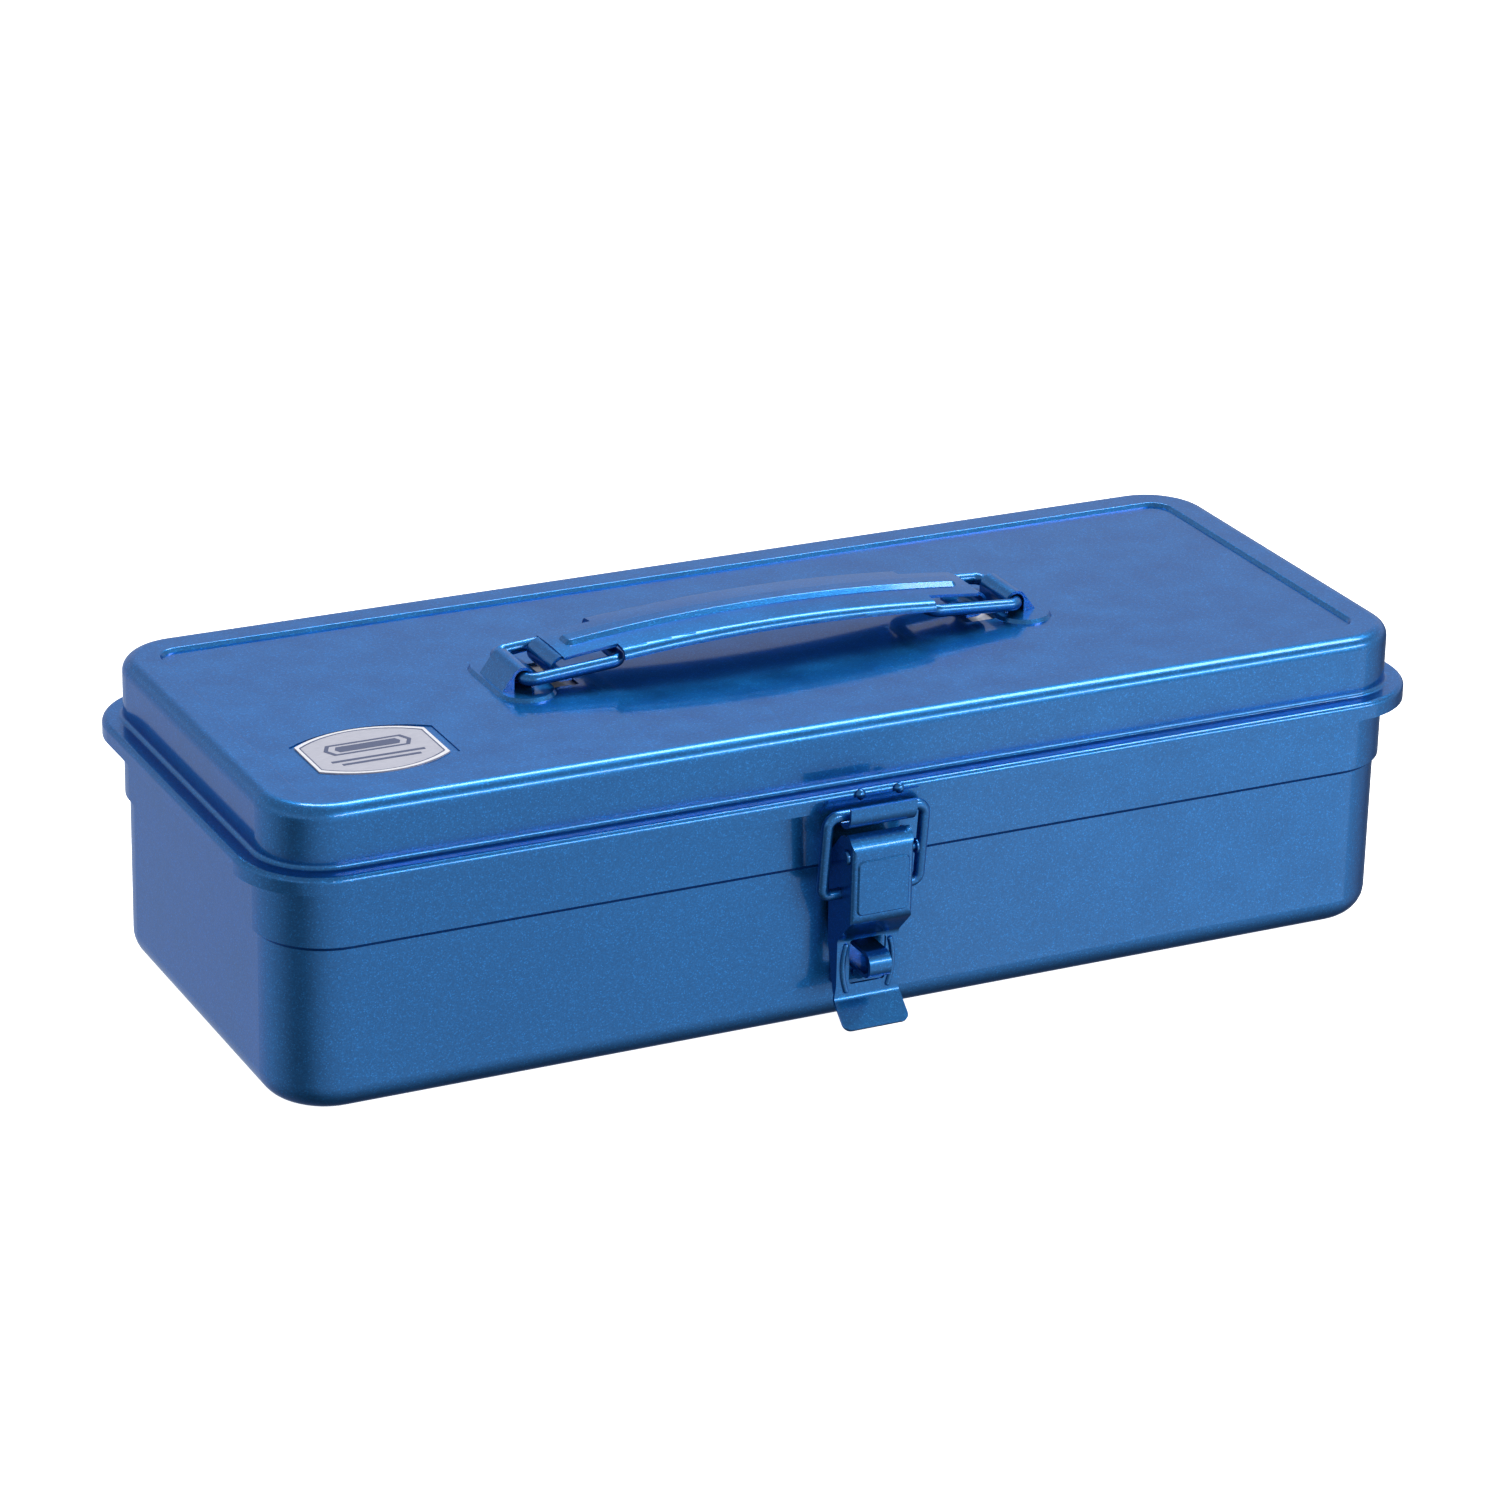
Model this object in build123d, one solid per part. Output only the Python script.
"""Steel tool box with a hinged lid, a folding carrying handle and a lever latch.

Millimetres, +Z up.  The origin is the centre of the flat base, +X runs along the box to the
right and -Y is the front, where the latch is.
"""
import os
from math import asin, atan2, cos, degrees, radians, sin, sqrt

from build123d import *

# ---------------------------------------------------------------- box and lid
flange_length = 333.0       # lid flange, the longest and widest part of the box
flange_width = 137.0
flange_corner = 23.0        # plan radius of the flange
sheet = 0.8                 # sheet steel of tub, lid and handle
rim_height = 66.5           # top of the tub's rim
shoulder_drop = 20.1        # from the rim down to the step in the tub's wall
shoulder = 1.3              # how far the wall steps in below the shoulder
upper_inset = 5.2           # tub's upper wall, in from the flange's edge
upper_corner = 19.0         # plan radius of the tub's upper wall
base_fillet = 7.5           # round between wall and base
rim_reach = 3.0             # width of the tub's turned-out rim
rim_turn_down = 2.4         # height of the rim's turned-down lip
lid_seat_gap = 0.1          # between the rim and the lid's flange
skirt_depth = 4.6           # height of the lid's turned-down skirt, flange included
flange_round = 1.5          # round on the flange's upper outer edge
lid_rise = 16.1             # from the flange's top to the lid's top
lid_inset = 5.6             # lid wall, in from the flange's edge
lid_corner = 17.0
lid_top_fillet = 3.6
lid_foot_fillet = 1.2       # concave round between lid wall and flange
panel_margin = 10.1         # recessed top panel, in from the lid wall
panel_depth = 1.0
panel_corner = 6.0
panel_slope = 35.0          # degrees, lean of the recess's edge
panel_round = 0.45          # round on the recess's upper edge

# ---------------------------------------------------------------- label plate
label_from_end = 27.6       # centre of the plate, in from the recess's left end
label_from_front = 23.3     # and from its front
label_length = 35.0
label_end_width = 17.0      # width at its straight short ends
label_bulge = 5.8           # rise of each long side
label_thickness = 0.4
label_pocket_depth = 0.3
label_pocket_margin = 0.7
label_pocket_stretch = 1.1  # the pocket is this much longer still, at each end
label_pocket_shift = 0.6    # its middle, right of the plate's
label_pocket_wall = 0.6     # sheet round the pocket, seen from inside the lid

# ---------------------------------------------------------------- handle
handle_x = -1.3             # middle of the handle
pivot_reach = 71.6          # from the middle to each ring's pivot
ring_arm = 26.7             # from the pivot to the ring's cross bar
ring_tilt = 4.2             # degrees, the rings' slope up to the grip at rest
ring_half_width = 11.0      # to the axis of each arm
ring_bend = 3.0             # radius of the wire's bends, on its axis
ring_wire = 1.7             # wire radius
ring_height = 2.75          # ring pivot above the pad
pad_out = 0.8               # centre of each embossed pad, beyond the pivot
pad_rise = 1.0
pad_length = 34.0
pad_width = 16.4
bridge_play = 0.7           # radial play of the ring's pivot bar in its bridge
bridge_drop = 0.2           # the bore's centre below the ring's pivot
bridge_out = 0.2            # and further from the grip
bridge_slope = 45.0         # degrees, where its flank leaves the barrel towards the pad
bridge_flank = 2.6          # how far the flank runs out past the barrel
bridge_short = 3.0          # its back end stops this much short
window_start = 14.2         # lanced window in the lid, inside the pivot
window_end = 7.0
window_half_length = 9.0
backing_length = 37.0
backing_in = 18.6           # backing plate, inside the pivot and beyond it
backing_out = 11.4
backing_corner = 3.0
ring_to_bridge = 0.5        # side clearance, ring arms to bridge
ring_to_grip = 0.2          # side clearance, ring arms to the grip's rolled edges
ring_to_tongue = 0.6        # side clearance, ring arms to the grip's tongue
ring_sag = 0.35             # how far the bar ends below the pivots' height in the lifted grip
hook_clear = 0.2            # bar to the hook's lip, lifted
grip_rise = 8.0             # crown of the grip above the pivots, at its middle
grip_arch = 500.0           # radius of the arch along the grip
grip_crown = 110.0          # radius of the crown across the grip
grip_roll = 2.4             # outer radius of the rolled edges
grip_side = 0.2             # straight part below the rolled edge
grip_lip = 1.1              # inward return of the rolled edge
grip_lip_short = 2.9        # the return stops this far inside the side notches
notch_past = 0.3            # notches start this far past the rings' cross bars
hook_inside = 8.0           # grip's end, inside the ring's pivot
hook_narrow = 1.2           # the hook is this much narrower each side than the tongue
hook_lip_length = 6.0       # from the grip's end to the inner end of the hook's lip
hook_lap = 0.3              # the arched strip runs this far into the hook's curl
rib_top_half_width = 2.1    # stiffening rib: its flat top and its root
rib_half_width = 3.4
rib_rise = 1.0
rib_past_notch = 12.0       # the rib ends this far past the start of the notches

# ---------------------------------------------------------------- latch
latch_x = -2.5              # middle of base plate, pin, staple and catch
lever_shift = -0.7          # lever and loop lie this far along the pin
lever_end_play = 0.1        # play left on the side they lie towards
bar_out = 3.8               # loop's cross bar, out from the skirt's face
bar_up = 0.1                # and above the skirt's lower edge
loop_wire = 1.5
loop_leg_gap = 3.5          # from the lever's side to each leg
loop_bend = 3.0
loop_drop = 22.4            # from the cross bar down to the loop's pivot
loop_lean = 2.3             # the loop's pivot is this much nearer the wall
pin_drop = 10.9             # from the cross bar down to the lever's pin
pin_out = 1.5               # the pin is this much further out than the bar
pin_radius = 1.1
pin_head = 2.0
pin_head_thickness = 0.8
pin_play = 0.06             # radial play of the lever on its pin
loop_play = 0.1             # radial play of the wire in the lever
loop_end_bend = 2.2
loop_end_in = 0.05          # the wire's ends stand this far past the lever's sheet
lever_half_width = 8.8
lever_sheet = 0.8
lever_face = 3.3            # lever's front face, out from the pin
lever_top_up = 6.0          # lever's top, above the pin
lever_front_up = 2.6        # where the front face turns into the top
lever_face_down = 17.0      # where the front face leans in
lever_neck_down = 24.5      # where it meets the arms
lever_arm_in = 4.0          # arms' face, in from the pin
lever_tab_down = 41.5       # where the arms turn out into the tab
lever_tab_end_down = 47.6
lever_tab_out = 3.2         # tab's end, out from the pin
lever_hood_dip = 0.9        # fall of the lever's top towards its front
lever_hood_back = 0.4       # the top ends this far behind the pin
lever_tab_flare = 3.5       # height over which the arms widen into the tab
lever_tab_corner = 2.2
lever_tab_root = 0.5        # the tab's full width starts this far below its bend
lever_hood_front = 1.2      # the hood's top starts to fall this far behind the face
lever_bends = [2.8, 3.8, 3.6, 3.0, 2.6]     # along the sheet's centre, from the top down
lever_shoulder_out = 3.6    # side flange: upper rear corner, behind and above the pin
lever_shoulder_up = 4.6
lever_flange_fall = 2.0     # its upper edge meets its rear edge this far below the pin
lever_flange_low = 26.0     # and the rear edge ends here, below the pin
lever_foot_up = 1.2         # foot of the flange, above the tab's bend
lever_foot_out = 2.2
lever_tab_wider = 0.6       # the tab is this much wider each side than the arms
lever_edge_round = 1.3      # round between the lever's face and its side flanges
lever_flange_clear = 1.2    # lever's side flanges to the base plate
panel_half_width = 7.4      # raised panel on the lever's face
panel_top_down = 0.2
panel_bottom_down = 15.4
panel_raise = 0.5
panel_corner_radius = 1.6
panel_edge_slope = 40.0     # degrees, lean of the raised panel's edge
gate_play = 2.1             # side play of the staple in the lever's window
gate_top_down = 25.4
gate_bottom_down = 37.8
gate_corner = 1.0
bead_radius = 0.75
bead_top_x = 6.3            # bowed beads round the window: upper end, middle and lower end
bead_middle_x = 7.1
bead_bottom_x = 6.0
bead_top_down = 26.8
bead_middle_down = 31.5
bead_bottom_down = 39.4
base_sheet = 1.0
base_top_gap = 1.3          # base plate's top, below the tub's shoulder
base_bottom_down = 40.0
ear_boss = 1.8
ear_slant = 50.0            # degrees, keeps the ear clear of the lever's turning top
ear_clear = 0.2             # where the slant ends, clear of the wall's upper step
ear_low = 26.0              # ear's lower edge, below the pin
ear_rear = 1.5
ear_sheet = 0.8
ear_root = 1.0              # the ear meets the wall this far below its slant's end
staple_half_width = 3.1
staple_sheet = 1.0
staple_down = 31.5          # eye's centre, below the pin
staple_bore = 2.6
staple_reach = 12.2         # crown's inner face, out from the base plate
staple_foot = 4.4
catch_sheet = 0.8
catch_half_width = 15.0
catch_end_height = 1.0      # left at each end below the chamfered upper corners
hook_wider = 0.6            # the trough is this much wider each side than the lever
hook_room = 3.2             # inner radius of the catch's trough
trough_up = 0.8             # trough's centre above the skirt's lower edge
hook_lip_up = 3.1           # hook's lip, above the skirt's lower edge
catch_rib_x = 5.5           # two nubs on the plate's upper edge
catch_rib_shift = 1.8
catch_rib_radius = 1.5
catch_rib_up = 0.4
rivet_radius = 1.2
rivet_head = 2.1
rivet_head_thickness = 0.8
rivet_upper_x = 4.0
rivet_upper_down = 13.5     # upper pair, below the pin

# ---------------------------------------------------------------- rear hinges
hinge_from_end = 71.5       # centre of each hinge, in from the flange's end
hinge_length = 44.0
knuckle_radius = 2.5
hinge_pin_radius = 1.25
hinge_pin_play = 0.05
knuckle_gap = 0.4
hinge_clear = 0.3           # knuckle to the lid's skirt
leaf_sheet = 1.0
body_leaf_drop = 14.0       # body leaf, below the hinge axis
body_leaf_top = 5.0         # the joggle in its neck ends this far below the axis
body_leaf_lap = 1.6         # and its full width starts this far below that
body_leaf_joggle = 1.2      # height that the joggle takes beyond its two bends
body_leaf_bend = 0.7
lid_leaf_web = 1.2          # the lid leaf reaches its knuckles this far above the axis
hinge_pin_proud = 0.6       # the pin stands out of the end knuckles
knuckle_slack = 0.1         # more end play round the middle knuckle

# ---------------------------------------------------------------- worked out from the above
flange_under = rim_height + lid_seat_gap
flange_top = flange_under + sheet
skirt_bottom = flange_top - skirt_depth
lid_top = flange_top + lid_rise
panel_floor = lid_top - panel_depth
shoulder_top = rim_height - shoulder_drop
upper_half_width = flange_width / 2 - upper_inset
lower_half_width = upper_half_width - shoulder
skirt_face = flange_width / 2
pad_top = panel_floor + pad_rise
ring_z = pad_top + ring_height
bridge_half_length = ring_half_width - ring_wire - ring_to_bridge
tongue_half_width = ring_half_width - ring_wire - ring_to_tongue
grip_half_width = ring_half_width + ring_wire + ring_to_grip + sheet
grip_top = ring_z + grip_rise
hook_bottom = ring_z - ring_sag - ring_wire - hook_clear - sheet
notch_start = pivot_reach - ring_arm + notch_past
grip_lip_end = notch_start - grip_lip_short
grip_half_length = pivot_reach - hook_inside
hook_lip_end = grip_half_length - hook_lip_length
rib_half_length = notch_start + rib_past_notch
base_half_width = lever_half_width - lever_sheet - abs(lever_shift) - lever_end_play
lever_x = latch_x + lever_shift
gate_half_width = staple_half_width + gate_play
bridge_bore = ring_wire + bridge_play
bore_z = ring_z - bridge_drop
window_floor = panel_floor - sheet
pad_reach = pivot_reach + pad_out
window_inner = pivot_reach - window_start
window_outer = pivot_reach - window_end
backing_inner = pivot_reach - backing_in
backing_outer = pivot_reach + backing_out
label_x = label_from_end + lid_inset + panel_margin - flange_length / 2
label_y = label_from_front + lid_inset + panel_margin - flange_width / 2
hinge_x = flange_length / 2 - hinge_from_end
lever_tab_half_width = lever_half_width + lever_tab_wider
hook_half_width = lever_half_width + hook_wider
loop_half_width = lever_half_width + loop_leg_gap + loop_wire
bar_y = -skirt_face - bar_out
bar_z = skirt_bottom + bar_up
pin_y = bar_y - pin_out
pin_z = bar_z - pin_drop
loop_pivot_y = bar_y + loop_lean
loop_pivot_z = bar_z - loop_drop
wall_y = -lower_half_width
base_face_y = wall_y - base_sheet
hinge_y = skirt_face + knuckle_radius + hinge_clear
hinge_z = skirt_bottom


def slab(length, width, corner, bottom, top, taper=0.0):
    """Plate with rounded plan corners between two heights; taper leans its sides inwards."""
    outline = RectangleRounded(length, width, corner)
    return Pos(0, 0, bottom) * extrude(outline, amount=top - bottom, taper=taper)


def edges_at(part, height):
    """Edges that lie wholly at one height."""
    return [e for e in part.edges() if abs(e.bounding_box().min.Z - height) < 1e-4
            and abs(e.bounding_box().max.Z - height) < 1e-4]


def block(x0, x1, y0, y1, z0, z1):
    """Box between opposite corners."""
    size = Box(abs(x1 - x0), abs(y1 - y0), abs(z1 - z0))
    return Pos((x0 + x1) / 2, (y0 + y1) / 2, (z0 + z1) / 2) * size


def bar_x(x0, x1, y, z, radius):
    """Round bar along X."""
    return Pos((x0 + x1) / 2, y, z) * Rot(0, 90, 0) * Cylinder(radius, abs(x1 - x0))


def bar_along_y(x, y0, y1, z, radius):
    """Round bar along Y."""
    return Pos(x, (y0 + y1) / 2, z) * Rot(90, 0, 0) * Cylinder(radius, abs(y1 - y0))


def across_x(profile, x0, x1):
    """Extrude a profile drawn as (y, z) points from x0 to x1."""
    return Pos(x0, 0, 0) * extrude(Plane.YZ * profile, amount=x1 - x0)


def across_y(profile, y0, y1):
    """Extrude a profile drawn as (x, z) points from y0 to y1."""
    return Pos(0, y1, 0) * extrude(Plane.XZ * profile, amount=y1 - y0)


def ribbon(points, bends, thickness):
    """Strip of constant thickness along a bent centre line."""
    return trace(FilletPolyline(*points, radius=bends), line_width=thickness)


def bent_wire(points, bend, radius, closed=False):
    """Round wire along straight runs joined by tangent bends."""
    path = FilletPolyline(*points, radius=bend, close=closed)
    wire = None
    for edge in path.edges():
        start = Plane(origin=edge @ 0, z_dir=edge % 0)
        piece = sweep(start * Circle(radius), path=edge)
        wire = piece if wire is None else wire + piece
    return wire


# ---------------------------------------------------------------- tub
def tub_block(inset):
    """Solid inside the tub's wall surface, drawn in by inset."""
    upper_l = flange_length - 2 * (upper_inset + inset)
    upper_w = flange_width - 2 * (upper_inset + inset)
    lower_l = upper_l - 2 * shoulder
    lower_w = upper_w - 2 * shoulder
    upper_r = upper_corner - inset
    lower_r = upper_r - shoulder
    shoulder_low = shoulder_top - shoulder
    lower = slab(lower_l, lower_w, lower_r, inset, shoulder_low)
    lower = fillet(edges_at(lower, inset), base_fillet - inset)
    step = slab(lower_l, lower_w, lower_r, shoulder_low, shoulder_top, taper=-45)
    upper = slab(upper_l, upper_w, upper_r, shoulder_top, rim_height + inset)
    return lower + step + upper


def tub():
    """Deep-drawn tub: stepped wall, round base edge and a turned-out rim under the lid."""
    upper_l = flange_length - 2 * upper_inset
    upper_w = flange_width - 2 * upper_inset
    rim_l = upper_l + 2 * rim_reach
    rim_w = upper_w + 2 * rim_reach
    rim_r = upper_corner + rim_reach
    rim = slab(rim_l, rim_w, rim_r, rim_height - rim_turn_down, rim_height)
    rim = fillet(edges_at(rim, rim_height), sheet)
    rim -= slab(rim_l - 2 * sheet, rim_w - 2 * sheet, rim_r - sheet,
                rim_height - rim_turn_down, rim_height - sheet)
    rim -= slab(upper_l, upper_w, upper_corner, rim_height - sheet, rim_height)
    part = tub_block(0) + rim
    part -= tub_block(sheet)
    for x, z in rivet_places():
        part -= bar_along_y(x, wall_y - 1, wall_y + 2, z, rivet_radius)
    return part


# ---------------------------------------------------------------- lid
def pad(side, grow, bottom, top):
    """Embossed oval pad under one bridge, or the space under it."""
    shape = slab(pad_width + 2 * grow, pad_length + 2 * grow, 0.49 * (pad_width + 2 * grow),
                 bottom, top, taper=panel_slope)
    return Pos(side * pad_reach, 0, 0) * shape


def barrel(grow, stretch=0):
    """Label outline, grown all round and stretched at its straight ends; the sides bow out."""
    half = label_length / 2 + grow + stretch
    end = label_end_width / 2 + grow
    mid = end + label_bulge
    lines = [
        Line((half, -end), (half, end)),
        ThreePointArc((half, end), (0, mid), (-half, end)),
        Line((-half, end), (-half, -end)),
        ThreePointArc((-half, -end), (0, -mid), (half, -end)),
    ]
    face = make_face(Curve() + lines)
    return Pos(label_x, label_y, 0) * face


def barrel_plate(grow, bottom, top):
    """Plate of the label's outline between two heights."""
    return Pos(0, 0, bottom) * extrude(barrel(grow), amount=top - bottom)


def pocket_plate(grow, bottom, top):
    """Plate of the label pocket's outline between two heights."""
    outline = barrel(label_pocket_margin + grow, label_pocket_stretch)
    return Pos(label_pocket_shift, 0, bottom) * extrude(outline, amount=top - bottom)


def lid():
    """Drawn lid: recessed top panel, wall, flange and turned-down skirt."""
    top_l = flange_length - 2 * lid_inset
    top_w = flange_width - 2 * lid_inset
    skirt = slab(flange_length, flange_width, flange_corner, skirt_bottom, flange_top)
    skirt = fillet(edges_at(skirt, flange_top), flange_round)
    crown = slab(top_l, top_w, lid_corner, flange_top - sheet, lid_top)
    crown = fillet(edges_at(crown, lid_top), lid_top_fillet)
    outer = skirt + crown
    foot = [e for e in edges_at(outer, flange_top)
            if abs(e.center().X) < top_l / 2 + 0.01 and abs(e.center().Y) < top_w / 2 + 0.01]
    outer = fillet(foot, lid_foot_fillet)

    skirt_room = slab(flange_length - 2 * sheet, flange_width - 2 * sheet, flange_corner - sheet,
                      skirt_bottom, flange_under)
    crown_room = slab(top_l - 2 * sheet, top_w - 2 * sheet, lid_corner - sheet,
                      flange_under, lid_top - sheet)
    crown_room = fillet(edges_at(crown_room, lid_top - sheet), lid_top_fillet - sheet)

    recess_l = top_l - 2 * panel_margin
    recess_w = top_w - 2 * panel_margin
    recess = Pos(0, 0, 2 * lid_top) * Rot(180, 0, 0) * slab(
        recess_l, recess_w, panel_corner, lid_top, lid_top + panel_depth, taper=panel_slope)
    pan = slab(recess_l + sheet, recess_w + sheet, panel_corner + sheet / 2,
               window_floor, lid_top - sheet)
    room = skirt_room + (crown_room - pan)
    part = outer - recess
    rim_edges = [e for e in edges_at(part, lid_top)
                 if abs(e.center().X) < recess_l / 2 + 0.01 and abs(e.center().Y) < recess_w / 2 + 0.01]
    part = fillet(rim_edges, panel_round)
    part -= room

    for side in (-1, 1):
        part += pad(side, 0, panel_floor - sheet / 2, pad_top)
        part -= pad(side, -sheet, window_floor, pad_top - sheet)
        part -= block(side * window_inner, side * window_outer,
                      -window_half_length, window_half_length, window_floor - 1, pad_top + 1)
    part += pocket_plate(label_pocket_wall, window_floor - label_pocket_depth,
                         panel_floor - label_pocket_depth)
    part -= pocket_plate(0, panel_floor - label_pocket_depth, lid_top)
    return part


def label():
    """Thin printed badge plate lying in its pocket."""
    bottom = panel_floor - label_pocket_depth
    return barrel_plate(0, bottom, bottom + label_thickness)


# ---------------------------------------------------------------- handle
def bridge(side):
    """Stamped saddle that holds one ring's pivot bar and runs out smoothly on the pad."""
    outer = bridge_bore + sheet
    leave = radians(90 + bridge_slope)
    profile = Pos(0, bore_z) * Circle(outer)
    profile += make_face(Polyline(
        (outer * cos(leave), bore_z + outer * sin(leave)), (-outer - bridge_flank, pad_top),
        (0, pad_top), (0, bore_z), close=True))
    profile += Pos(outer / 2, (pad_top + bore_z) / 2) * Rectangle(outer, bore_z - pad_top)
    profile -= Pos(0, bore_z) * Circle(bridge_bore)
    profile -= Pos(0, (pad_top + bore_z) / 2) * Rectangle(2 * bridge_bore, bore_z - pad_top)
    profile -= Pos(0, pad_top - outer) * Rectangle(6 * outer, 2 * outer)
    if side > 0:
        profile = mirror(profile, about=Plane.YZ)
    saddle = across_y(profile, -bridge_half_length, bridge_half_length - bridge_short)
    return Pos(handle_x + side * (pivot_reach + bridge_out), 0, 0) * saddle


def backing_plate(side):
    """Plate inside the lid that closes the lanced window and stiffens the pad."""
    length = backing_outer - backing_inner
    outline = RectangleRounded(length, backing_length, backing_corner)
    x = side * (backing_inner + backing_outer) / 2
    return Pos(x, 0, window_floor - sheet) * extrude(outline, amount=sheet)


def ring(side):
    """Closed wire ring between bridge and grip, sloping up to the grip."""
    pivot = handle_x + side * pivot_reach
    inner = pivot - side * ring_arm
    half = ring_half_width
    points = [(pivot, -half, ring_z), (inner, -half, ring_z), (inner, half, ring_z),
              (pivot, half, ring_z)]
    wire = bent_wire(points, ring_bend, ring_wire, closed=True)
    return wire.rotate(Axis((pivot, 0, ring_z), (0, 1, 0)), side * ring_tilt)


def arch_height(reach):
    """Height of the grip's crown line at this distance from its middle."""
    return grip_top - grip_arch + sqrt(grip_arch ** 2 - reach ** 2)


def arch_sweep(profile, half_length):
    """Sweep a (y, z) profile along the grip's arch, half_length each way from its middle."""
    half_angle = degrees(asin(half_length / grip_arch))
    axis = Axis((0, 0, grip_top - grip_arch), (0, 1, 0))
    start = (Plane.YZ * profile).rotate(axis, -half_angle)
    return revolve(start, axis, revolution_arc=2 * half_angle)


def roll_centre():
    """Centre (y, z) of the rolled edge's round, tangent to the crown from inside."""
    y = grip_half_width - grip_roll
    z = grip_top - grip_crown + sqrt((grip_crown - grip_roll) ** 2 - y ** 2)
    return y, z


def grip_section(skin):
    """Outside of the grip's cross section, drawn in by skin."""
    crown = grip_crown - skin
    roll = grip_roll - skin
    crown_centre = grip_top - grip_crown
    roll_y, roll_z = roll_centre()
    lean = atan2(roll_y, roll_z - crown_centre)
    tangent_y = crown * sin(lean)
    tangent_z = crown_centre + crown * cos(lean)
    edge_y = roll_y + roll
    edge_z = roll_z - grip_side - skin
    mid_lean = (lean + radians(90)) / 2
    bow_y = roll_y + roll * sin(mid_lean)
    bow_z = roll_z + roll * cos(mid_lean)
    lines = [
        ThreePointArc((-tangent_y, tangent_z), (0, grip_top - skin), (tangent_y, tangent_z)),
        ThreePointArc((tangent_y, tangent_z), (bow_y, bow_z), (edge_y, roll_z)),
        Line((edge_y, roll_z), (edge_y, edge_z)),
        Line((edge_y, edge_z), (-edge_y, edge_z)),
        Line((-edge_y, edge_z), (-edge_y, roll_z)),
        ThreePointArc((-edge_y, roll_z), (-bow_y, bow_z), (-tangent_y, tangent_z)),
    ]
    return make_face(Curve() + lines)


def rib_bump(skin):
    """Long flat-topped rib along the grip's crown, drawn in by skin."""
    top = grip_top + rib_rise - skin
    root = grip_top - rib_rise - skin
    slope = (rib_half_width - rib_top_half_width) / rib_rise
    root_half = rib_half_width - skin + slope * rib_rise
    profile = make_face(Polyline(
        (-root_half, root), (-rib_top_half_width + skin / 2, top),
        (rib_top_half_width - skin / 2, top), (root_half, root), close=True))
    shoulders = [v for v in profile.vertices() if v.Y > top - 0.01]
    profile = fillet(shoulders, rib_rise / 2)
    bump = arch_sweep(profile, rib_half_length - skin)
    if skin == 0:
        upright = [e for e in bump.edges().filter_by(Axis.Y, reverse=True)
                   if abs(e.center().X) > rib_half_length - 1 and abs(e.center().Y) > rib_top_half_width]
        ends = [e for e in upright if e.geom_type == GeomType.LINE]
        bump = fillet(ends, rib_half_width / 2)
    return bump


def hook_radius():
    """Outer radius of the curl at each end of the tongue."""
    return (arch_height(grip_half_length) - hook_bottom) / 2


def grip_hook(side):
    """Tongue's end curled under into a hook for the ring's bar."""
    radius = hook_radius()
    middle_x = side * (grip_half_length - radius)
    middle_z = hook_bottom + radius
    curl = Pos(middle_x, middle_z) * (Circle(radius) - Circle(radius - sheet))
    curl -= Pos(middle_x - side * radius, middle_z) * Rectangle(2 * radius, 4 * radius)
    lip_end = side * hook_lip_end
    lip = Pos((middle_x + lip_end) / 2, hook_bottom + sheet / 2) * Rectangle(
        abs(middle_x - lip_end), sheet)
    profile = curl + lip
    half = tongue_half_width - hook_narrow
    return across_y(profile, -half, half)


def grip_shell():
    """Arched strip with rolled and returned edges; only the tongue is left past the notches."""
    tongue_end = grip_half_length - hook_radius() + hook_lap
    skin = grip_section(0) - grip_section(sheet)
    roll_y, roll_z = roll_centre()
    edge_z = roll_z - grip_side
    inner_y = roll_y + grip_roll - sheet
    for y in (-1, 1):
        lip_y = y * (inner_y - grip_lip / 2)
        skin += Pos(lip_y, edge_z + sheet / 2) * Rectangle(grip_lip + 0.02, sheet)
    shell = arch_sweep(skin, tongue_end)
    lip_drop = arch_height(0) - arch_height(grip_lip_end)
    lip_top = edge_z + sheet - lip_drop
    for side in (-1, 1):
        for y in (-1, 1):
            shell -= block(side * notch_start, side * 2 * grip_half_length, y * tongue_half_width,
                           y * 2 * grip_half_width, hook_bottom - 5, grip_top + 5)
            shell -= block(side * grip_lip_end, side * notch_start, y * tongue_half_width,
                           y * inner_y, hook_bottom - 5, lip_top)
    return shell


def grip():
    """Arched stamped grip with rolled edges, side notches, hooks and a stiffening rib."""
    shell = grip_shell()
    for side in (-1, 1):
        shell += grip_hook(side)
    shell += rib_bump(0)
    shell -= rib_bump(sheet)
    return Pos(handle_x, 0, 0) * shell


# ---------------------------------------------------------------- rear hinges
def knuckle_spans():
    """Lid, body and lid knuckle along X, from the hinge's centre."""
    third = hinge_length / 3
    half = hinge_length / 2
    return [(-half, -third / 2 - knuckle_gap / 2), (-third / 2 + knuckle_gap / 2,
            third / 2 - knuckle_gap / 2), (third / 2 + knuckle_gap / 2, half)]


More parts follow.
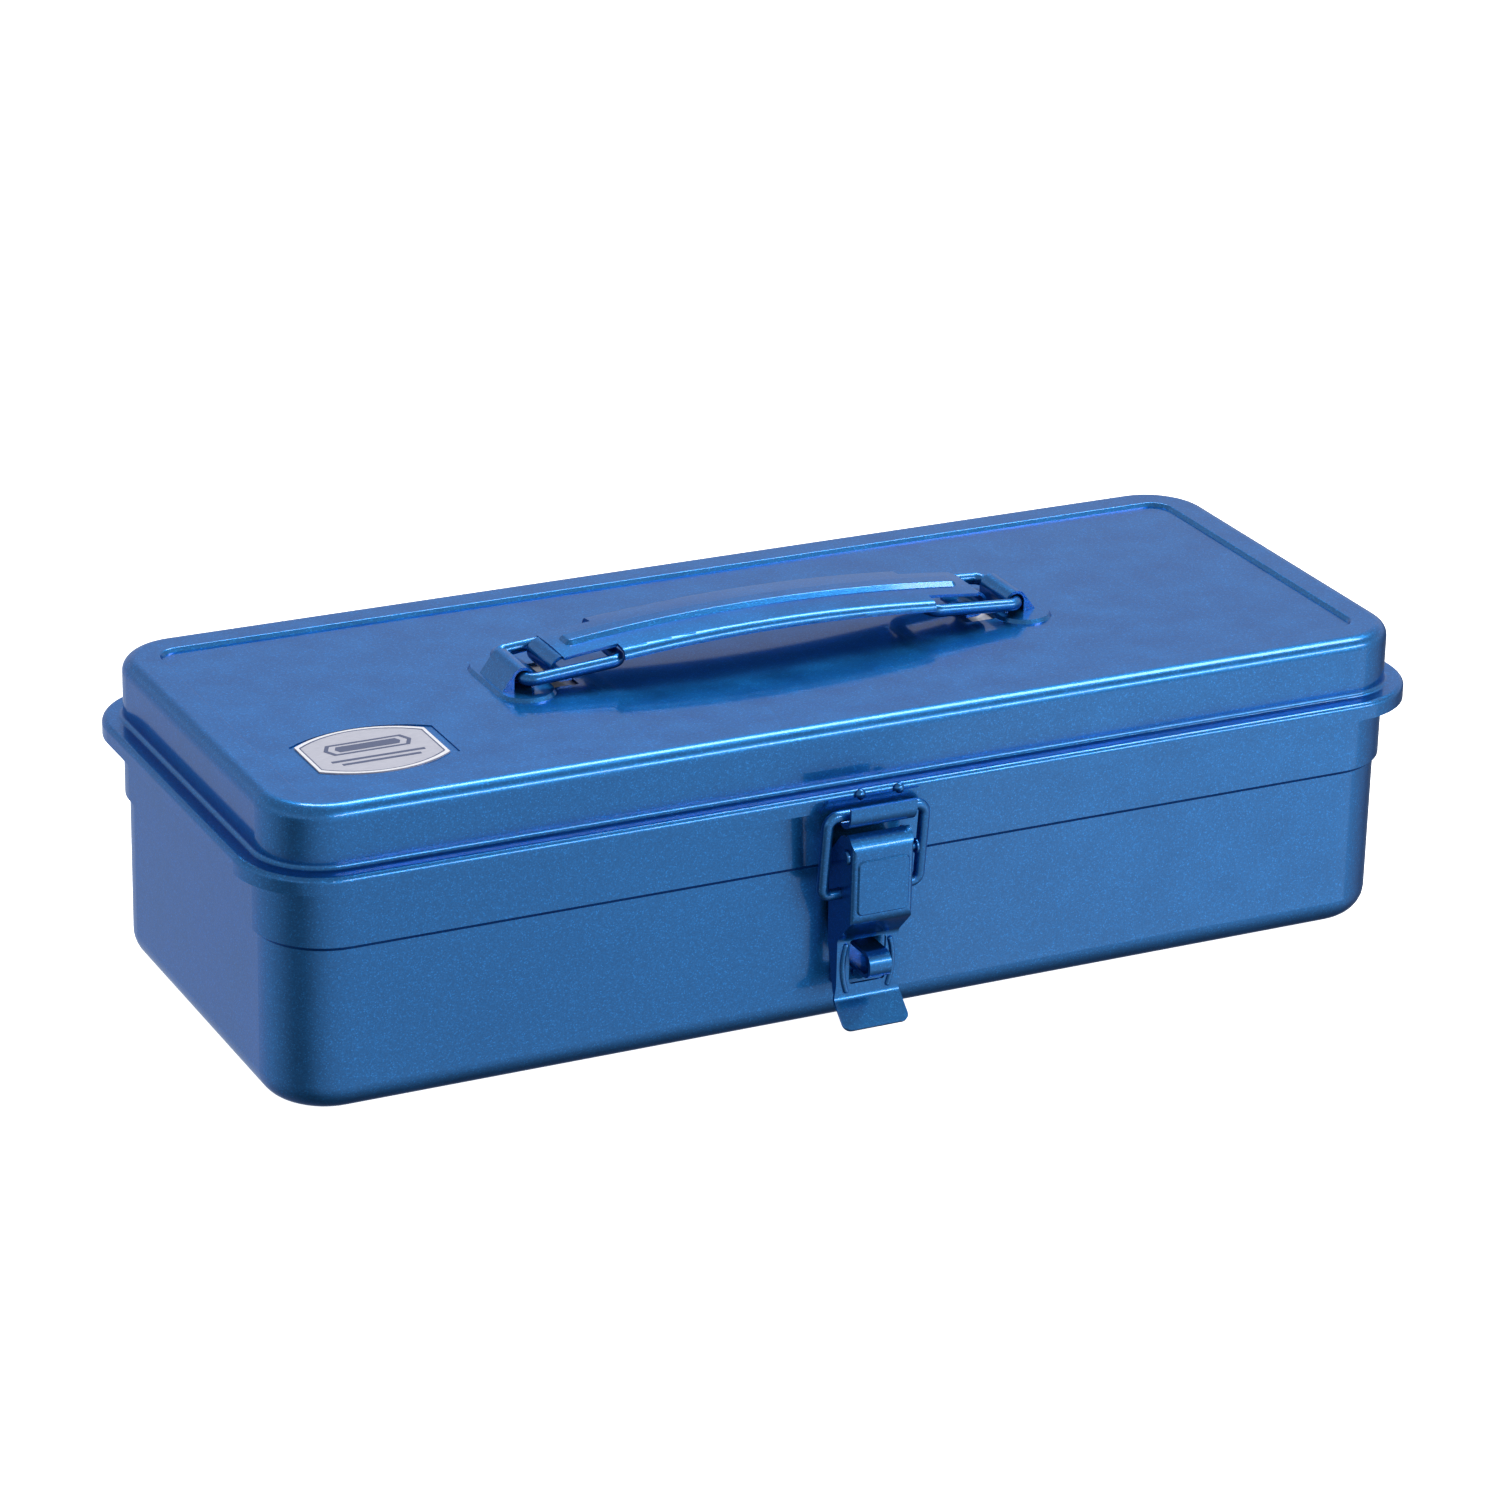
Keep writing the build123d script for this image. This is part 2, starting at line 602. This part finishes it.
def hinge_body_leaf(side):
    """Leaf on the tub: middle knuckle, joggled neck and a plate on the rear wall."""
    x = side * hinge_x
    low, high = knuckle_spans()[1]
    back = upper_half_width
    neck_z = hinge_z - body_leaf_top
    knuckle = bar_x(x + low, x + high, hinge_y, hinge_z, knuckle_radius)
    centre = leaf_sheet / 2
    front = hinge_y - knuckle_radius + centre
    line = [(front, hinge_z), (front, hinge_z - body_leaf_joggle),
            (back + centre, neck_z), (back + centre, neck_z - 2 * body_leaf_lap)]
    neck = across_x(ribbon(line, body_leaf_bend, leaf_sheet), x + low, x + high)
    plate = block(x - hinge_length / 2, x + hinge_length / 2, back, back + leaf_sheet,
                  hinge_z - body_leaf_drop, neck_z - body_leaf_lap)
    leaf = knuckle + neck + plate
    return leaf - bar_x(x + low - 1, x + high + 1, hinge_y, hinge_z,
                        hinge_pin_radius + hinge_pin_play)


def hinge_lid_leaf(side):
    """Leaf on the lid's skirt with the two outer knuckles."""
    x = side * hinge_x
    first, middle, last = knuckle_spans()
    top = skirt_bottom + skirt_depth - flange_round
    leaf = block(x + first[0], x + last[1], skirt_face, skirt_face + leaf_sheet,
                 hinge_z, top)
    for low, high in (first, last):
        leaf += bar_x(x + low, x + high, hinge_y, hinge_z, knuckle_radius)
        leaf += block(x + low, x + high, skirt_face, hinge_y, hinge_z + lid_leaf_web,
                      hinge_z + knuckle_radius)
        leaf -= bar_x(x + low - 1, x + high + 1, hinge_y, hinge_z, hinge_pin_radius)
    middle_gap = knuckle_gap / 2 + knuckle_slack
    leaf -= bar_x(x + middle[0] - middle_gap, x + middle[1] + middle_gap, hinge_y, hinge_z,
                  knuckle_radius + hinge_clear)
    return leaf


def hinge_pin(side):
    """Pin through the three knuckles, held in the lid's two."""
    x = side * hinge_x
    half = hinge_length / 2 + hinge_pin_proud
    return bar_x(x - half, x + half, hinge_y, hinge_z, hinge_pin_radius)


# ---------------------------------------------------------------- latch
def rivet_places():
    """Rivets of the latch, as (x, z): an upper pair and one in each foot of the staple."""
    upper_z = pin_z - rivet_upper_down
    foot_step = staple_bore + staple_sheet + staple_foot / 2
    middle_z = pin_z - staple_down
    return [(latch_x - rivet_upper_x, upper_z), (latch_x + rivet_upper_x, upper_z),
            (latch_x, middle_z + foot_step), (latch_x, middle_z - foot_step)]


def latch_rivets():
    """Rivets through the tub's wall, the base plate and, for two of them, the staple."""
    group = []
    for index, (x, z) in enumerate(rivet_places()):
        face = base_face_y - (staple_sheet if index >= 2 else 0)
        rivet = bar_along_y(x, face, wall_y + sheet, z, rivet_radius)
        rivet += bar_along_y(x, face - rivet_head_thickness, face, z, rivet_head)
        rivet += bar_along_y(x, wall_y + sheet, wall_y + sheet + rivet_head_thickness, z,
                             rivet_head)
        group.append(rivet)
    return Compound(children=[r.solid() for r in group])


def latch_base():
    """Base plate on the front wall with two ears that carry the lever's pin."""
    top = shoulder_top - shoulder - base_top_gap
    bottom = pin_z - base_bottom_down
    plate = block(latch_x - base_half_width, latch_x + base_half_width, base_face_y, wall_y,
                  bottom, top)
    slant = radians(ear_slant)
    edge_y = pin_y + ear_boss * sin(slant)
    edge_z = pin_z + ear_boss * cos(slant)
    run = (base_face_y - ear_clear - edge_y) / cos(slant)
    low_z = edge_z - run * sin(slant)
    foot_z = pin_z - ear_low
    ear = make_face(Polyline(
        (edge_y, edge_z), (edge_y + run * cos(slant), low_z), (wall_y, low_z - ear_root),
        (wall_y, foot_z), (base_face_y - ear_rear, foot_z),
        (pin_y - ear_boss * sin(slant), pin_z - ear_boss * cos(slant)),
        close=True))
    ear += Pos(pin_y, pin_z) * Circle(ear_boss)
    ear -= Pos(pin_y, pin_z) * Circle(pin_radius)
    base = plate
    for side in (-1, 1):
        outer = latch_x + side * base_half_width
        inner = outer - side * ear_sheet
        base += across_x(ear, min(outer, inner), max(outer, inner))
    for x, z in rivet_places():
        base -= bar_along_y(x, base_face_y - 1, wall_y + 1, z, rivet_radius)
    return base


def latch_staple():
    """Padlock eye: a strip bent out of the base plate through the lever's window."""
    middle = pin_z - staple_down
    outer = staple_bore + staple_sheet
    crown_y = base_face_y - staple_reach + staple_bore
    foot_y = base_face_y - staple_sheet
    eye = Pos(crown_y, middle) * Circle(outer)
    eye += Pos((crown_y + base_face_y) / 2, middle) * Rectangle(abs(crown_y - base_face_y),
                                                                2 * outer)
    eye += Pos((foot_y + base_face_y) / 2, middle) * Rectangle(staple_sheet,
                                                               2 * (outer + staple_foot))
    eye -= Pos(crown_y, middle) * Circle(staple_bore)
    eye -= Pos((crown_y + base_face_y) / 2, middle) * Rectangle(abs(crown_y - base_face_y),
                                                                2 * staple_bore)
    staple = across_x(eye, latch_x - staple_half_width, latch_x + staple_half_width)
    for x, z in rivet_places()[2:]:
        staple -= bar_along_y(x, base_face_y - 3, wall_y, z, rivet_radius)
    return staple


def lever_outline():
    """Front view of the lever as (x, z) points about its middle."""
    half = lever_half_width
    tab_half = lever_tab_half_width
    flare_top = pin_z - lever_tab_down + lever_tab_flare
    flare_low = pin_z - lever_tab_down - lever_tab_root
    top = pin_z + 2 * lever_top_up
    return make_face(Polyline(
        (-half, top), (half, top), (half, flare_top), (tab_half, flare_low), (tab_half, 0),
        (-tab_half, 0), (-tab_half, flare_low), (-half, flare_top), close=True))


def lever_line():
    """Centre line (y, z) of the lever's sheet, from its top over the face to the tab's end."""
    centre = lever_sheet / 2
    face_y = pin_y - lever_face + centre
    arm_y = pin_y + lever_arm_in + centre
    top_z = pin_z + lever_top_up - centre
    return [
        (pin_y + lever_hood_back, top_z),
        (face_y + lever_hood_front + centre, top_z - lever_hood_dip),
        (face_y, pin_z + lever_front_up),
        (face_y, pin_z - lever_face_down),
        (arm_y, pin_z - lever_neck_down),
        (arm_y, pin_z - lever_tab_down),
        (pin_y - lever_tab_out + centre, pin_z - lever_tab_end_down),
    ]


def lever_flange(line):
    """Side flange (y, z) from the sheet's centre line back to the base plate."""
    hood, corner, face_top, face_low, neck, bend, tab = line
    rear_y = base_face_y - lever_flange_clear
    foot_z = pin_z - lever_tab_down + lever_foot_up
    return make_face(Polyline(
        (hood[0], pin_z + lever_top_up - lever_sheet),
        (pin_y + lever_shoulder_out, pin_z + lever_shoulder_up),
        (rear_y, pin_z - lever_flange_fall), (rear_y, pin_z - lever_flange_low),
        (neck[0] - lever_sheet + lever_foot_out, foot_z), (neck[0], foot_z),
        neck, face_low, face_top, corner, close=True))


def face_edge_cut(side):
    """What the round between the lever's face and one side flange takes away."""
    size = lever_edge_round
    front_y = pin_y - lever_face
    corner = Pos(side * (lever_half_width - size / 2 + 1), front_y + size / 2 - 1) * Rectangle(
        size + 2, size + 2)
    corner -= Pos(side * (lever_half_width - size), front_y + size) * Circle(size)
    low = pin_z - lever_neck_down
    return Pos(0, 0, low) * extrude(corner, amount=lever_neck_down + 2 * lever_top_up)


def latch_lever():
    """Stamped lever: hood over the pin, raised panel, arms beside the staple, and a tab."""
    line = lever_line()
    strip = ribbon(line, lever_bends, lever_sheet)
    flange = lever_flange(line)
    shell = across_x(strip, -lever_tab_half_width, lever_tab_half_width)
    shell &= across_y(lever_outline(), -2 * skirt_face, 0)
    tab_end = pin_z - lever_tab_end_down
    corners = [e for e in shell.edges().filter_by(Axis.Y, tolerance=60)
               if e.center().Z < tab_end + 1.5 and abs(e.center().X) > lever_half_width / 2
               and e.length < 1.5 * lever_sheet]
    shell = fillet(corners, lever_tab_corner)
    shell += across_x(flange, -lever_half_width, lever_half_width)
    for side in (-1, 1):
        shell -= face_edge_cut(side)
    inner = lever_half_width - lever_sheet
    cavity = across_x(flange, -inner, inner) - across_x(strip, -inner, inner)
    shell -= cavity

    panel = Pos(0, pin_z - (panel_top_down + panel_bottom_down) / 2) * RectangleRounded(
        2 * panel_half_width, panel_bottom_down - panel_top_down, panel_corner_radius)
    panel_front = pin_y - lever_face
    shell += Pos(0, panel_front, 0) * extrude(Plane.XZ * panel, amount=panel_raise,
                                              taper=panel_edge_slope)
    gate = Pos(0, pin_z - (gate_top_down + gate_bottom_down) / 2) * RectangleRounded(
        2 * gate_half_width, gate_bottom_down - gate_top_down, gate_corner)
    shell -= across_y(gate, 2 * pin_y, base_face_y - lever_flange_clear)
    for side in (-1, 1):
        shell += lever_bead(side)
    lever = Pos(lever_x, 0, 0) * shell
    low, high = lever_x - 2 * lever_half_width, lever_x + 2 * lever_half_width
    lever -= bar_x(low, high, pin_y, pin_z, pin_radius + pin_play)
    lever -= bar_x(low, high, loop_pivot_y, loop_pivot_z, loop_wire + loop_play)
    return lever


def lever_bead(side):
    """Raised bead that bows round the lever's window."""
    arm_face = pin_y + lever_arm_in
    upper = Vector(side * bead_top_x, arm_face, pin_z - bead_top_down)
    middle = Vector(side * bead_middle_x, arm_face, pin_z - bead_middle_down)
    lower = Vector(side * bead_bottom_x, arm_face, pin_z - bead_bottom_down)
    run = ThreePointArc(upper, middle, lower)
    bead = sweep(Plane(origin=upper, z_dir=run % 0) * Circle(bead_radius), path=run)
    return bead + Pos(*upper) * Sphere(bead_radius) + Pos(*lower) * Sphere(bead_radius)


def latch_pin():
    """Pin with two domed heads that the lever turns on, held in the base plate's ears."""
    outer = lever_half_width + abs(lever_shift) + lever_end_play
    pin = bar_x(latch_x - outer, latch_x + outer, pin_y, pin_z, pin_radius)
    for side in (-1, 1):
        start = latch_x + side * outer
        end = start + side * pin_head_thickness
        head = bar_x(min(start, end), max(start, end), pin_y, pin_z, pin_head)
        rim = [e for e in head.edges() if abs(e.center().X - end) < 1e-3]
        pin += fillet(rim, 0.7 * pin_head_thickness)
    return pin


def latch_loop():
    """Wire loop that hooks the lid's catch, its ends turned into the lever's flanges."""
    end = lever_half_width - lever_sheet - loop_end_in
    half = loop_half_width
    low = (loop_pivot_y, loop_pivot_z)
    high = (bar_y, bar_z)
    points = [(-end, *low), (-half, *low), (-half, *high), (half, *high), (half, *low),
              (end, *low)]
    bends = [loop_end_bend, loop_bend, loop_bend, loop_end_bend]
    return Pos(lever_x, 0, 0) * bent_wire(points, bends, loop_wire)


def lid_catch():
    """Keeper on the lid's skirt: a plate turned up into a trough for the loop's bar."""
    centre_y = -skirt_face - catch_sheet - hook_room
    centre_z = skirt_bottom + trough_up
    outer = hook_room + catch_sheet
    lip_z = skirt_bottom + hook_lip_up
    top_z = flange_top - flange_round
    trough = Pos(centre_y, centre_z) * (Circle(outer) - Circle(hook_room))
    trough -= Pos(centre_y, centre_z + outer) * Rectangle(3 * outer, 2 * outer)
    trough += Pos(centre_y - outer + catch_sheet / 2, (centre_z + lip_z) / 2) * Rectangle(
        catch_sheet, lip_z - centre_z)
    trough += Pos(-skirt_face - catch_sheet / 2, (centre_z + top_z) / 2) * Rectangle(
        catch_sheet, top_z - centre_z)
    catch = across_x(trough, lever_x - hook_half_width, lever_x + hook_half_width)
    plate = Pos(latch_x, (skirt_bottom + top_z) / 2) * Rectangle(
        2 * catch_half_width, top_z - skirt_bottom)
    upper = [v for v in plate.vertices() if v.Y > top_z - 0.01]
    plate = chamfer(upper, top_z - skirt_bottom - catch_end_height)
    catch += across_y(plate, -skirt_face - catch_sheet, -skirt_face)
    for side in (-1, 1):
        size = 2 * catch_rib_radius
        nub = Sphere(catch_rib_radius) & block(-size, size, -size, 0, -size, size)
        nub_x = latch_x + catch_rib_shift + side * catch_rib_x
        catch += Pos(nub_x, -skirt_face, top_z + catch_rib_up) * nub
    return catch


def build():
    """Make every node and write it to parts/."""
    nodes = {
        "tub": tub(),
        "lid_shell": lid(),
        "label_plate": label(),
        "handle_grip": grip(),
        "lid_catch": lid_catch(),
        "latch_base": latch_base(),
        "latch_staple": latch_staple(),
        "latch_rivets": latch_rivets(),
        "latch_lever": latch_lever(),
        "latch_pin": latch_pin(),
        "latch_loop": latch_loop(),
    }
    for name, side in (("left", -1), ("right", 1)):
        nodes["handle_ring_" + name] = ring(side)
        nodes["handle_bridge_" + name] = bridge(side)
        nodes["backing_plate_" + name] = backing_plate(side)
        nodes["hinge_body_leaf_" + name] = hinge_body_leaf(side)
        nodes["hinge_lid_leaf_" + name] = hinge_lid_leaf(side)
        nodes["hinge_pin_" + name] = hinge_pin(side)
    os.makedirs("parts", exist_ok=True)
    for name, part in nodes.items():
        export_step(part, os.path.join("parts", name + ".step"))


build()
